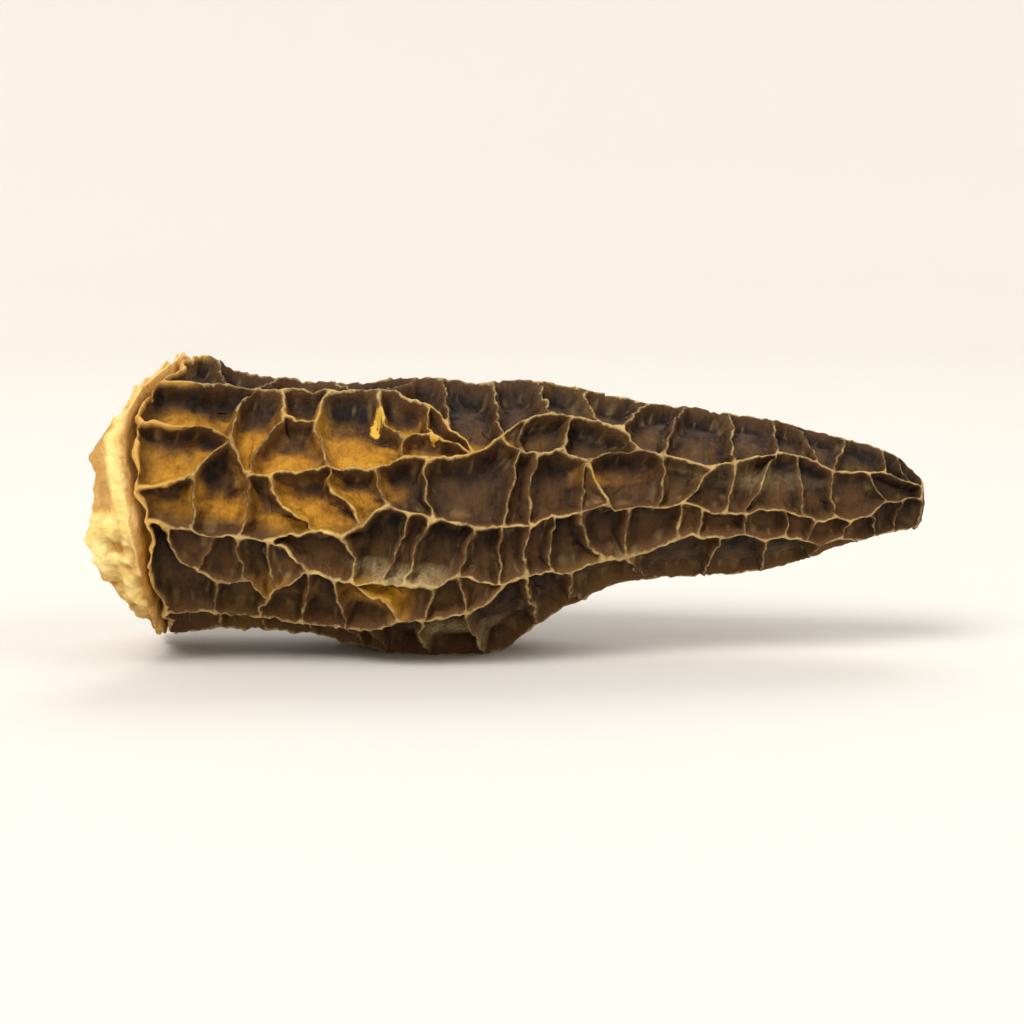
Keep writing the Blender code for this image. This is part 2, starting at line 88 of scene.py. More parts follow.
# The long ridges of the side that shows: (x, height) points in mm where they stand when seen from
# the side, the ridge that each starts on, and the one that it ends on.
seenRidges = {
    "B": (
        [(-3, 9.0), (1.9, 9.2), (5.8, 9.5), (7.5, 5.9), (11.9, 5.8), (17.5, 7.5), (21.4, 8.0), (23.8, 9.5),
         (28.9, 10.1), (31.4, 11.1), (35, 14.4), (40.1, 15.6), (45.2, 14.7), (48.7, 12.8), (50.6, 13.2),
         (54.5, 12.4), (58.9, 13.9), (60.8, 14.8), (63.9, 14.9), (67.0, 13.7), (69.8, 13.8), (72.6, 14.2),
         (75.0, 13.3), (77.4, 13.0)],
        "", "",
    ),
    "D": (
        [(0, -0.3), (3.6, -1.0), (5.0, -1.5), (7, -1.0), (10.2, -1.1), (13.6, 0.0), (17.5, 1.1), (20.3, 1.4),
         (22.6, 4.5), (23.5, 5.2), (25.9, 3.9), (31.5, 3.9), (34.7, 4.2), (37.4, 4.6), (39.3, 5.7),
         (43.2, 6.4), (45.2, 7.4), (50.8, 7.2), (52.7, 8.9), (55.2, 7.6), (58.9, 7.9), (61.2, 9.4),
         (63.9, 8.9), (66.1, 8.0), (68, 8.8), (70.5, 8.9), (71.8, 9.2), (73.7, 11.2), (75.6, 11.6),
         (77.4, 11.8)],
        "", "",
    ),
    "A": (
        [(-1.4, 12.9), (1.9, 12.9), (5.8, 13.3), (9.7, 13.4), (15.2, 14.2), (19.3, 14.7), (22.6, 14.8),
         (25.5, 14.4), (27.7, 12.9), (31.6, 11.4)],
        "", "B",
    ),
    "R": ([(-0.6, 2.6), (2.3, 4.3), (4.2, 4.7), (7.4, 5.6)], "", "B"),
    "C": ([(32.2, 11.7), (35.4, 11.7), (41.6, 11.8), (43.2, 10.3), (45.2, 7.6)], "B", "D"),
    "E": (
        [(11.6, -0.8), (13.2, -1.4), (14.4, -2.6), (16.4, -3.7), (19.1, -4.0), (25.3, -3.5), (29.2, -2.6),
         (31.3, -1.3), (33.9, -1.8), (35.8, -2.1), (38.6, -0.4), (41.3, -0.6), (44.4, 1.0), (48.7, 2.1),
         (51.8, 4.4), (55, 5.2), (59.5, 6.1), (64.7, 6.0), (66.3, 5.4), (69, 6.7), (72.4, 6.8),
         (75, 7.8), (77.4, 8.7)],
        "D", "",
    ),
    "F": (
        [(1.9, -10.4), (6.2, -10.1), (10.5, -9.7), (17.5, -9.7), (23.8, -8.6), (25.7, -7.1), (28.9, -6.5),
         (31.6, -6.1), (34, -4.4), (36.4, -2.0)],
        "", "E",
    ),
}
# The ridges of the other side: (x, angle) points.
farRidges = {
    "G": ([(0, -76), (10, -79), (20, -75), (30, -75), (38, -77), (50, -80), (62, -83), (77.4, -97)], "", ""),
    "H": (
        [(0, -112), (9, -104), (19, -107), (30, -105), (38, -108), (48, -118), (60, -126), (77.4, -142)],
        "", "",
    ),
    "I": ([(0, -146), (12, -141), (22, -147), (33, -143), (45, -152), (57, -161), (77.4, -187)], "", ""),
    "L": ([(0, 101), (12, 107), (23, 103), (35, 96), (46, 101), (58, 104), (66, 96), (77.4, 86)], "", ""),
    "K": ([(0, 147), (11, 141), (22, 147), (34, 150), (44, 144), (52, 132), (58, 118)], "", "L"),
}
seam = [(0, -181), (10, -175), (21, -182), (33, -178), (44, -187), (56, -200), (66, -214), (77.4, -232)]

# Bent cross ridges: the ridge and x that each starts at, those it ends at, and (x, height) between.
arcs = {
    "T": ("E", 16.4, "F", 11.2, [(14.6, -4.9), (13.4, -6.2), (12.4, -7.2), (11.6, -8.2)]),
    "S": ("D", 2.2, "T", 12.2, [(2.8, -3.4), (4.4, -5.6), (7.2, -5.9), (9.9, -5.5), (11.2, -6.5)]),
    "V": ("A", 19.6, "B", 31.0, [(20.9, 11.9), (23.4, 11.2), (26.2, 11.9), (28.6, 11.4)]),
    "W": ("A", 9.6, "A", 16.0, [(11.1, 11.4), (12.6, 11.1), (14.2, 11.4)]),
    "X": ("B", 11.3, "D", 17.0, [(11.9, 3.7), (12.9, 2.4), (14.6, 1.6)]),
    "Y": ("E", 20.9, "F", 25.6, [(22.3, -5.0), (23.6, -5.2), (24.7, -6.1)]),
    "Z": ("B", 16.0, "D", 21.2, [(16.1, 5.7), (17.4, 4.9), (19.2, 3.8)]),
}
# Straight cross ridges: from one ridge at x to the next at x.
crossings = [
    ("A", 7.6, "B", 5.8), ("W", 11.1, "B", 9.8), ("W", 14.2, "B", 15.0),
    ("V", 23.4, "B", 24.0), ("A", 24.4, "V", 25.4), ("R", 3.6, "D", 4.4), ("B", 7.6, "D", 10.0),
    ("B", 21.2, "D", 23.0), ("B", 27.2, "D", 28.4), ("B", 36.4, "C", 35.8), ("B", 40.8, "C", 40.6),
    ("C", 34.4, "D", 34.6), ("C", 38.0, "D", 37.6), ("C", 41.4, "D", 41.0), ("B", 48.4, "C", 43.2),
    ("B", 50.4, "D", 48.6), ("B", 54.2, "D", 53.0), ("B", 57.2, "D", 56.0), ("B", 60.8, "D", 60.0),
    ("B", 64.0, "D", 64.8), ("B", 67.0, "D", 67.6), ("B", 71.0, "D", 73.7), ("D", 75.2, "E", 75.2),
    ("D", 18.0, "E", 20.4), ("D", 24.4, "E", 23.6), ("D", 27.4, "E", 27.0), ("D", 31.0, "E", 31.2),
    ("D", 34.8, "E", 34.4), ("D", 37.4, "E", 38.0), ("D", 40.2, "E", 41.2), ("D", 43.4, "E", 44.0),
    ("D", 47.2, "E", 46.6), ("D", 51.0, "E", 51.6), ("D", 55.2, "E", 55.6), ("D", 59.6, "E", 59.4),
    ("D", 63.0, "E", 62.6), ("D", 66.4, "E", 65.4), ("D", 69.4, "E", 69.0), ("D", 71.6, "E", 72.4),
    ("D", 5.4, "S", 5.0), ("D", 8.8, "S", 9.2), ("D", 11.8, "T", 13.4), ("S", 6.0, "F", 6.6),
    ("E", 16.6, "F", 15.8), ("E", 19.0, "F", 20.2), ("E", 27.8, "F", 28.2), ("E", 31.2, "F", 31.4),
    ("F", 5.6, "G", 6.4), ("F", 11.4, "G", 12.0), ("F", 16.4, "G", 17.2), ("F", 20.6, "G", 21.2),
    ("F", 23.6, "G", 25.0), ("F", 28.2, "G", 29.8), ("F", 33.2, "G", 34.8), ("E", 38.4, "G", 39.4),
    ("E", 43.8, "G", 44.6), ("E", 48.7, "G", 52.2), ("E", 56.6, "G", 57.2), ("E", 62.2, "G", 61.8),
    ("E", 67.2, "G", 66.4), ("E", 71.8, "G", 71.0), ("G", 22.0, "H", 21.0), ("G", 28.0, "H", 29.0),
    ("G", 35.4, "H", 34.6), ("A", 27.6, "L", 27.0), ("B", 33.8, "L", 32.4),
]
# Lanes of the other side that are crossed at seeded places: two ridges, from x to x.
lanes = [
    ("G", "H", 0, 18), ("G", "H", 38, 78), ("H", "I", 0, 78), ("I", "J", 0, 78), ("L", "A", 0, 25),
    ("L", "B", 34, 78), ("K", "L", 0, 57), ("J2", "K", 0, 57), ("J2", "L", 59, 78),
]
# The lower edge of the cap, and how far the torn collar stands out of it, by angle.
edgeLine = [(-90, 2.4), (-57, 2.4), (-23, 1.0), (-6, -0.1), (18, -2.2), (34, -3.2), (52, -2.6), (80, -0.3),
            (130, 0.9), (180, 0.2), (225, 1.4)]
collarOut = [(-90, 1.7), (-66, 2.6), (-44, 3.9), (-31, 5.7), (-22, 6.8), (-8, 6.0), (6, 5.5), (21, 4.9),
             (33, 3.7), (44, 1.9), (56, 2.0), (72, 1.7), (90, 1.6), (120, 2.6), (160, 4.4), (200, 3.2),
             (240, 3.2)]

cap = {
    "rowStep": 2.4,  # mm between the points of a ridge
    "laneStep": 5.8,  # mm between the cross ridges of the other side
    "crossSag": 0.75,  # mm that the middle of a cross ridge lies low
    "arcSag": 0.3,
    "uneven": 0.28,  # mm that the long crests rise and fall
    "seenAngles": (-58, 70),
    "easeSeen": 0.15,  # share of the way to its neighbours' middle that a point is eased by
    "easeHidden": 0.55,
    "mouthRadius": 15,
    "edgeStep": 3.0,  # mm between the points of the lower edge
    "cuts": 3,  # parts that each edge of the net gets
    "pitDepth": 2.6,
    "deepest": 0.5,  # depth against the width of a small pit
    "pitRings": [  # mm in, most of the room, share of the crest's height, share of the depth, crest
        (0.2, 0.08, 1.0, 0.04, 0.8),
        (0.13, 0.06, 0.8, 0.38, 0.25),
        (0.28, 0.14, 0.4, 0.86, 0.0),
    ],
    "floorIn": 0.5,
    "wall": 3.4,  # mm from the crests to the inside
    "edgeRings": [(-0.35, 0.9, 1.0, 0.0), (-0.1, 2.1, 0.7, 0.5)],  # mm up, mm below, crest, inner
    "hollowRings": [2.5, 9.0, 17.0, 25.0, 31.0, 36.0, 42.0, 49.0, 58.0, 68.0],
    "crownRings": [(0.5, 0.45, 0.7), (0.3, 1.2, 0.0), (-0.6, 2.2, 0.0)],  # mm on, mm below, crest
    "thinnest": 0.45,  # mm of flesh under a pit
    "smooth": 1,
    "crestWander": 0.6,  # mm that a crest strays sideways
    "crestBeads": 0.34,
    "wrinkles": 0.3,
    "ribs": 0.3,
    "edgeFrill": 0.8,
}


def through(points, x, column=1):  # a smooth curve through the points
    last = len(points) - 1
    x = min(max(x, points[0][0]), points[last][0])
    i = max(k for k in range(last) if points[k][0] <= x)

    def slope(k):
        a = points[max(k - 1, 0)]
        b = points[min(k + 1, last)]
        return (b[column] - a[column]) / (b[0] - a[0])

    span = points[i + 1][0] - points[i][0]
    t = (x - points[i][0]) / span
    start = points[i][column] * (1 + 2 * t) * (1 - t) ** 2 + slope(i) * span * t * (1 - t) ** 2
    end = points[i + 1][column] * t * t * (3 - 2 * t) - slope(i + 1) * span * t * t * (1 - t)
    return start + end


def roundMouth(points, angle):  # the same for points that go once round
    ring = [(a + turn, v) for turn in (-360, 0, 360) for a, v in points]
    return through(ring, (angle + 180) % 360 - 180)


def finer(x):  # the size of the net here against that at the mouth
    return 1 - (1 - finest) * min(max((x - fineFrom) / fineLength, 0), 1)


def smoothStep(low, high, value):
    t = min(max((value - low) / (high - low), 0), 1)
    return t * t * (3 - 2 * t)


def swell(x, turn):  # the form is a little out of round
    return 1 + sum(share * math.sin(count * turn + phase + x * 0.03) for count, share, phase in formWaves)


def angleAt(x, height):  # the angle at which the side that shows has this height
    angle = 0.0
    for _ in range(4):
        high = through(capForm, x, 2) * swell(x, math.radians(angle))
        share = (height - through(capForm, x)) / high
        angle = math.degrees(math.asin(min(max(share, -0.97), 0.97)))
    return angle


def wrapped(x, angle, below):  # from the flat map onto the form, in mm, as it lies
    turn = math.radians(angle)
    wave = swell(x, turn)
    high = through(capForm, x, 2) * wave
    deep = through(capForm, x, 3) * wave
    slope = (through(capForm, x + 0.5, 2) - through(capForm, x - 0.5, 2)) * wave
    outward = Vector((-slope * leanShare, -math.cos(turn) * high, math.sin(turn) * deep))
    outward.yz /= outward.yz.length
    outward.normalize()
    onForm = Vector((x, -math.cos(turn) * deep, through(capForm, x) + math.sin(turn) * high))
    point = onForm - outward * below
    lying = Vector((
        point.x * math.cos(lieDown) + point.z * math.sin(lieDown),
        point.y,
        point.z * math.cos(lieDown) - point.x * math.sin(lieDown),
    ))
    return lying - standsAt


class RidgeMap:  # the net of ridges as points and edges on the flat map
    def __init__(self):
        self.points = []  # x, angle, height against the crests, 1 on a long ridge and less on a cross one
        self.edges = set()
        self.ridge = {}

    def add(self, x, angle, height=0.0, strength=1.0):
        self.points.append([x, angle, height, strength])
        return len(self.points) - 1

    def join(self, chain):
        self.edges.update(zip(chain, chain[1:]))

    def nearest(self, name, x):
        return min(self.ridge[name], key=lambda v: abs(self.points[v][0] - x))

    def drawRidge(self, name, course, startsOn, endsOn):
        end = course[-1][0]
        if startsOn:
            chain = [self.nearest(startsOn, course[0][0])]
            x = self.points[chain[0]][0]
        else:
            x = roundMouth(edgeLine, course[0][1])
            chain = [self.add(x, course[0][1])]
        while True:
            x += cap["rowStep"] * finer(x) ** 0.6 * dice.uniform(0.85, 1.15)
            if x > end - 0.6 * cap["rowStep"] * finer(x):
                break
            low = dice.uniform(-cap["uneven"], 0.3 * cap["uneven"]) * finer(x)
            chain.append(self.add(x, through(course, x), low))
        if endsOn:
            chain.append(self.nearest(endsOn, end))
        else:
            chain.append(self.add(end, course[-1][1]))
        self.ridge[name] = chain
        self.join(chain)

    def drawArc(self, name, one, xOne, other, xOther, bends):
        chain = [self.nearest(one, xOne)]
        chain += [self.add(x, angleAt(x, height), -cap["arcSag"] * finer(x), 0.85) for x, height in bends]
        chain.append(self.nearest(other, xOther))
        self.ridge[name] = chain
        self.join(chain)

    def drawCrossing(self, one, xOne, other, xOther):  # a little bowed, and low in its middle
        a = self.nearest(one, xOne)
        b = self.nearest(other, xOther)
        xa, angleA = self.points[a][:2]
        xb, angleB = self.points[b][:2]
        roundWay = math.radians(abs(angleB - angleA)) * through(capForm, (xa + xb) / 2, 2)
        inner = max(1, round(math.hypot(xb - xa, roundWay) / (cap["rowStep"] * finer(xa))) - 1)
        bow = dice.uniform(-0.8, 0.8) * finer(xa)
        chain = [a]
        for i in range(inner):
            t = (i + 1) / (inner + 1)
            lift = math.sin(math.pi * t)
            chain.append(self.add(
                xa + (xb - xa) * t + bow * lift,
                angleA + (angleB - angleA) * t,
                -cap["crossSag"] * lift * finer(xa),
                0.5,
            ))
        self.join(chain + [b])

    def ease(self):  # evens the net out, and less on the side that shows
        around = {}
        for v, w in sorted(self.edges):
            around.setdefault(v, []).append(w)
            around.setdefault(w, []).append(v)
        fixed = set(self.ridge["J"] + self.ridge["J2"])
        fixed.update(chain[end] for chain in self.ridge.values() for end in (0, -1))
        low, high = cap["seenAngles"]
        for _ in range(2):
            moved = {}
            for v, others in around.items():
                x, angle = self.points[v][:2]
                pull = cap["easeSeen"] if low < angle < high else cap["easeHidden"]
                if v not in fixed:
                    meanX = sum(self.points[w][0] for w in others) / len(others)
                    meanAngle = sum(self.points[w][1] for w in others) / len(others)
                    moved[v] = (x + (meanX - x) * pull, angle + (meanAngle - angle) * pull)
            for v, place in moved.items():
                self.points[v][:2] = place

    def closeEnds(self):  # the lower edge and the ring round the tip
        onEdge = [c for c in self.ridge.values()
                  if abs(self.points[c[0]][0] - roundMouth(edgeLine, self.points[c[0]][1])) < 1e-6]
        firsts = sorted((self.points[chain[0]][1], chain[0]) for chain in onEdge)
        for (angle, v), (nextAngle, w) in zip(firsts, firsts[1:]):
            wide = math.radians(nextAngle - angle) * cap["mouthRadius"]
            parts = max(1, round(wide / cap["edgeStep"]))
            chain = [v]
            for i in range(1, parts):
                at = angle + (nextAngle - angle) * i / parts
                chain.append(self.add(roundMouth(edgeLine, at), at, -0.25))
            self.join(chain + [w])
        atCrown = [c[-1] for c in self.ridge.values() if self.points[c[-1]][0] == crownX]
        self.join([v for _, v in sorted((self.points[v][1], v) for v in atCrown)])

    def cut(self):  # each edge in a few parts, with the new points a little astray
        parts = cap["cuts"]
        for v, w in sorted(self.edges):
            one, other = self.points[v], self.points[w]
            onRim = all(abs(p[0] - roundMouth(edgeLine, p[1])) < 1e-6 for p in (one, other))
            onCrown = min(one[0], other[0]) == crownX
            chain = [v]
            for i in range(1, parts):
                t = i / parts
                x, angle, height = (a + (b - a) * t for a, b in zip(one[:3], other[:3]))
                if onRim:
                    x = roundMouth(edgeLine, angle)
                elif not onCrown:
                    stray = noise.noise_vector(roundForm(x, angle) * 1.1) * cap["crestWander"] * finer(x)
                    stray *= smoothStep(0.0, 3.0, x - roundMouth(edgeLine, angle))
                    x += stray.x
                    angle += math.degrees(stray.y / through(capForm, x, 2))
                chain.append(self.add(x, angle, height, min(one[3], other[3])))
            self.edges.remove((v, w))
            self.join(chain + [w])


def roundForm(x, angle):  # a place for noise to read, the same on both sides of the seam
    turn = math.radians(angle)
    reach = through(capForm, x, 2)
    return Vector((x, math.cos(turn) * reach, math.sin(turn) * reach))


def drawNet():
    net = RidgeMap()
    net.drawRidge("J", seam, "", "")
    net.ridge["J2"] = [net.add(x, angle + 360, height) for x, angle, height, _ in net.points[:]]
    net.join(net.ridge["J2"])
    for name, (course, startsOn, endsOn) in seenRidges.items():
        net.drawRidge(name, [(x, angleAt(x, height)) for x, height in course], startsOn, endsOn)
    for name, ridge in farRidges.items():
        net.drawRidge(name, *ridge)
    for name, arc in arcs.items():
        net.drawArc(name, *arc)
    for crossing in crossings:
        net.drawCrossing(*crossing)
    for one, other, start, end in lanes:
        x = start + cap["laneStep"] * dice.uniform(0.5, 0.9)
        while x < end - 2.5:
            skew = dice.uniform(-1.6, 1.6) * finer(x)
            net.drawCrossing(one, x + skew, other, x - skew)
            x += cap["laneStep"] * finer(x) * dice.uniform(0.75, 1.25)
    net.ease()
    net.closeEnds()
    net.cut()
    return net


def flatMesh(net):  # the map as faces, one for each pit: y is the angle, z the height
    flat = [Vector((p[0], p[1] * degreeWide)) for p in net.points]
    found, _, faces, sources, _, _ = delaunay_2d_cdt(flat, sorted(net.edges), [], 3, 1e-6)
    bm = bmesh.new()
    names = ("crest", "strength", "pitTone", "lit", "calm")
    layers = {name: bm.verts.layers.float.new(name) for name in names}
    for point, source in zip(found, sources):
        height, strength = net.points[source[0]][2:] if source else (0.0, 0.5)
        vert = bm.verts.new((point.x, point.y / degreeWide, height))
        vert[layers["crest"]] = 1.0
        vert[layers["strength"]] = strength
    bm.verts.ensure_lookup_table()
    for face in faces:
        bm.faces.new([bm.verts[v] for v in face])
    bmesh.ops.recalc_face_normals(bm, faces=bm.faces[:])
    if bm.faces[0].normal.z < 0:
        bmesh.ops.reverse_faces(bm, faces=bm.faces[:])
    return bm, layers


def inwardSteps(ring, reach, share):  # how far each corner goes in: no more than a share of the room
    steps = []
    count = len(ring)
    for i, corner in enumerate(ring):
        before = (corner - ring[i - 1]).normalized()
        after = (ring[(i + 1) % count] - corner).normalized()
        way = Vector((-before.y - after.y, before.x + after.x))
        if way.length < 1e-6:
            steps.append(Vector((0, 0)))
            continue
        way.normalize()
        straight = max(0.6, way.dot(Vector((-after.y, after.x))))
        room = 100.0
        for k in range(count):
            if i in (k, (k + 1) % count):
                continue
            a = ring[k]
            side = ring[(k + 1) % count] - a
            across = way.x * side.y - way.y * side.x
            if abs(across) < 1e-9:
                continue
            gap = a - corner
            far = (gap.x * side.y - gap.y * side.x) / across
            along = (gap.x * way.y - gap.y * way.x) / across
            if far > 1e-6 and -1e-6 <= along <= 1 + 1e-6:
                room = min(room, far)
        steps.append(way * min(reach / straight, share * room))
    return steps


def sinkRing(bm, face, wayIn, fall, marks, lit):  # insets the face and lets its new corners fall
    middle = face.calc_center_median()
    scale = math.radians(1) * through(capForm, middle.x, 2)
    steps = wayIn([Vector((v.co.x, v.co.y * scale)) for v in face.verts])
    starts = [v.co.copy() for v in face.verts]
    bmesh.ops.inset_individual(bm, faces=[face], thickness=1e-4)
    for vert in face.verts:
        i = min(range(len(starts)), key=lambda k: (starts[k] - vert.co).length)
        vert.co = starts[i] + Vector((steps[i].x, steps[i].y / scale, 0))
        vert.co.z = fall(starts[i].z)
        for layer, value in marks.items():
            vert[layer] = value
        if steps[i].length > 1e-6:
            vert[lit] = 0.5 + 0.5 * steps[i].normalized().y  # 1 on the wall that faces up


def towardMiddle(ring, share):
    middle = sum(ring, Vector((0, 0))) / len(ring)
    return [(middle - corner) * share for corner in ring]


def sinkPits(bm, layers):
    tones = random.Random(5)
    crest, pitTone = layers["crest"], layers["pitTone"]
    for face in bm.faces[:]:
        middle = face.calc_center_median()
        fine = finer(middle.x)
        area = face.calc_area() * math.radians(1) * through(capForm, middle.x, 2)
        depth = min(cap["pitDepth"] * fine, cap["deepest"] * math.sqrt(area)) * dice.uniform(0.88, 1.05)
        tone = tones.random()
        for reach, share, ownHeight, ownDepth, top in cap["pitRings"]:
            sinkRing(bm, face, lambda ring, r=reach * fine ** 0.7, h=share: inwardSteps(ring, r, h),
                     lambda height, h=ownHeight, d=ownDepth * depth: h * height - d,
                     {crest: top, pitTone: tone}, layers["lit"])
        sinkRing(bm, face, lambda ring: towardMiddle(ring, cap["floorIn"]),
                 lambda height: -depth, {crest: 0.0, pitTone: tone, layers["calm"]: 1.0}, layers["lit"])


def onLowerEdge(vert):
    return vert.is_boundary and abs(vert.co.x - roundMouth(edgeLine, vert.co.y)) < 1e-3


def drawnOn(bm, edges):  # a new row of faces on these edges, and its far edges
    made = bmesh.ops.extrude_edge_only(bm, edges=edges)["geom"]
    return [g for g in made if isinstance(g, bmesh.types.BMEdge)]


def lineHollow(bm, layers):
    inner = bm.verts.layers.float.new("inner")
    rim = [e for e in bm.edges if e.is_boundary and all(onLowerEdge(v) for v in e.verts)]
    for shift, below, crest, inside in cap["edgeRings"] + [(0.6, cap["wall"], 0.0, 1.0)]:
        rim = drawnOn(bm, rim)
        for vert in {v for e in rim for v in e.verts}:
            vert.co = (roundMouth(edgeLine, vert.co.y) + shift, vert.co.y, -below)
            vert[layers["crest"]] = crest
            vert[inner] = inside
    for x in cap["hollowRings"]:
        rim = drawnOn(bm, rim)
        for vert in {v for e in rim for v in e.verts}:
            near = max(0.0, 1 - x / 12)
            along = x + near * roundMouth(edgeLine, vert.co.y)
            vert.co = (along, vert.co.y, -cap["wall"] * finer(x) ** 0.4)
            vert[inner] = 1.0
    openEdges = [e for e in bm.edges if e.is_boundary]
    crown = [e for e in openEdges if all(abs(v.co.x - crownX) < 1e-4 for v in e.verts)]
    for shift, below, crest in cap["crownRings"]:
        crown = drawnOn(bm, crown)
        for vert in {v for e in crown for v in e.verts}:
            vert.co = (crownX + shift, vert.co.y, -below)
            vert[layers["crest"]] = crest
            vert[layers["pitTone"]] = 0.4


def refined(bm, levels):  # the same mesh after smooth subdivision, with its attributes carried along
    mesh = bpy.data.meshes.new("draft")
    bm.to_mesh(mesh)
    bm.free()
    draft = bpy.data.objects.new("draft", mesh)
    bpy.context.collection.objects.link(draft)
    subdivision = draft.modifiers.new("Subdivision", "SUBSURF")
    subdivision.levels = levels
    subdivision.render_levels = levels
    subdivision.boundary_smooth = "PRESERVE_CORNERS"
    graph = bpy.context.evaluated_depsgraph_get()
    fine = bmesh.new()
    fine.from_mesh(bpy.data.meshes.new_from_object(draft.evaluated_get(graph)))
    bpy.data.objects.remove(draft)
    return fine


def ridged(place, sharp=3.2):  # 1 on thin wandering lines, falling to 0 away from them
    return 1 - min(1.0, abs(noise.noise(place)) * sharp)


def roughen(bm):  # wander and beads on the crests, wrinkles and ribs in the pits, a frill at the edge
    crest = bm.verts.layers.float["crest"]
    inner = bm.verts.layers.float["inner"]
    calm = bm.verts.layers.float["calm"]
    low = bm.verts.layers.float.new("low")
    vein = bm.verts.layers.float.new("vein")
    for vert in bm.verts:
        x, angle, height = vert.co
        reach = through(capForm, x, 2)
        place = roundForm(x, angle)
        fine = finer(x)
        onCrest = vert[crest]
        deep = 1 - onCrest
        outside = 1 - vert[inner]
        vert[low] = min(1.0, max(0.0, -height / (cap["pitDepth"] * fine)))
        stray = noise.noise_vector(place * 0.45) * 0.7 + noise.noise_vector(place * 1.4) * 0.4
        x += stray.x * cap["crestWander"] * fine * outside
        angle += math.degrees(stray.y * cap["crestWander"] * fine / reach) * outside
        frill = (1 - smoothStep(0.2, 2.0, x - roundMouth(edgeLine, angle))) * outside
        waves = noise.noise(place * 0.35 + Vector((1, 2, 3))) + 0.6 * noise.noise(place * 1.1)
        x += waves * cap["edgeFrill"] * frill
        beads = (noise.noise(place * 0.5) * 0.5 + noise.noise(place * 1.7)) * cap["crestBeads"] * onCrest
        folds = (ridged(place * 0.5 + Vector((3, 5, 9))) - 0.35) * cap["wrinkles"]
        across = Vector((x * 0.62, place.y * 0.12 + 4, place.z * 0.12))
        ribs = ridged(across + noise.noise_vector(place * 0.35) * 0.25, 2.6)
        vert[vein] = ribs * deep * (1 - 0.6 * vert[calm])
        folds += (ribs - 0.4) * cap["ribs"] + noise.noise(place * 1.8) * 0.22
        height += (beads + folds * deep * (1 - 0.55 * vert[calm])) * fine * outside
        if vert[inner] == 0:
            height = max(height, cap["thinnest"] - cap["wall"] * fine ** 0.4)
        vert.co = (x, angle, height)


def wrapUp(bm):  # rolls the flat map up and joins its two sides
    mapX = bm.verts.layers.float.new("mapX")
    mapAngle = bm.verts.layers.float.new("mapAngle")
    for vert in bm.verts:
        x, angle, height = vert.co
        vert[mapX] = x
        vert[mapAngle] = (angle + 180) % 360 - 180
        vert.co = wrapped(x, angle, -height)
        vert.co.z = max(vert.co.z, 0.0)
    bmesh.ops.remove_doubles(bm, verts=[v for v in bm.verts if v.is_boundary], dist=0.02)


def dressedObject(bm, name, node):  # in metres and inside the solids' box
    low, high = (Vector(corner) for corner in cadBox)
    for vert in bm.verts:
        vert.co = Vector([min(max(c, l), h) for c, l, h in zip(vert.co * mm, low, high)])
    mesh = bpy.data.meshes.new(name)
    bm.to_mesh(mesh)
    bm.free()
    mesh.shade_smooth()
    piece = bpy.data.objects.new(name, mesh)
    bpy.context.collection.objects.link(piece)
    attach(piece, "root")
    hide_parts(node)
    return piece


def facedOut(bm, name):
    bmesh.ops.recalc_face_normals(bm, faces=bm.faces[:])
    triangles = sum(len(f.verts) - 2 for f in bm.faces)
    print(name, "triangles:", triangles, "open edges:", sum(e.is_boundary for e in bm.edges))


def makeCap():
    bm, layers = flatMesh(drawNet())
    print("pits:", len(bm.faces))
    sinkPits(bm, layers)
    lineHollow(bm, layers)
    bm = refined(bm, cap["smooth"])
    roughen(bm)
    wrapUp(bm)
    ends = bmesh.ops.edgeloop_fill(bm, edges=[e for e in bm.edges if e.is_boundary])["faces"]
    bmesh.ops.poke(bm, faces=ends)
    facedOut(bm, "cap")
    return dressedObject(bm, "morel_cap", "cap")


capPiece = makeCap()

collar = {
    "columns": 96,
    "lip": 0.85,  # mm from the cap's edge to where the collar comes up out of the mouth
    "section": [  # mm past the cap's edge, share of what stands out past the lip, mm below, inside
        (-4.5, 0.0, 3.75, 0),
        (-0.6, 0.0, 3.75, 0),
        (0.6, 0.0, 2.9, 0),
        (0.85, 0.0, 0.7, 0),
        (0.85, 0.1, 0.2, 0),
        (0.85, 0.25, 0.15, 0),
        (0.85, 0.4, 0.45, 0),
        (0.85, 0.55, 0.6, 0),
        (0.85, 0.7, 0.45, 0),
        (0.85, 0.85, 0.4, 0),
        (0.85, 1.0, 0.8, 0.1),
        (0.85, 0.98, 2.0, 0.8),
        (0.85, 0.5, 3.1, 1),
        (0.2, 0.0, 4.8, 1),
        (-4.5, 0.0, 4.95, 1),
    ],
    "ragged": 1.1,  # mm that the torn edge comes and goes
    "folds": 0.55,
    "cordHigh": 0.8,  # mm: wavy cords of flesh round the mouth
    "radius": 14,
    "highest": 0.15,  # mm that it may stand above the cap's crests
    "smooth": 2,
}


def flatCollar():  # a tube in the map: its section along one way of a grid, the angle along the other
    section = collar["section"]
    rows = len(section)
    bm = bmesh.new()
    bmesh.ops.create_grid(bm, x_segments=collar["columns"], y_segments=rows, size=0.5)
    torn = bm.verts.layers.float.new("torn")
    inner = bm.verts.layers.float.new("inner")
    for vert in bm.verts:
        angle = (vert.co.x + 0.5) * 360 - 180
        past, share, below, inside = section[round((vert.co.y + 0.5) * rows) % rows]
        past += share * (roundMouth(collarOut, angle) - collar["lip"])
        vert.co = (roundMouth(edgeLine, angle) - past, angle, -below)
        vert[torn] = smoothStep(0.75, 1.0, share)
        vert[inner] = inside
    bmesh.ops.remove_doubles(bm, verts=bm.verts[:], dist=0.0001)
    return bm


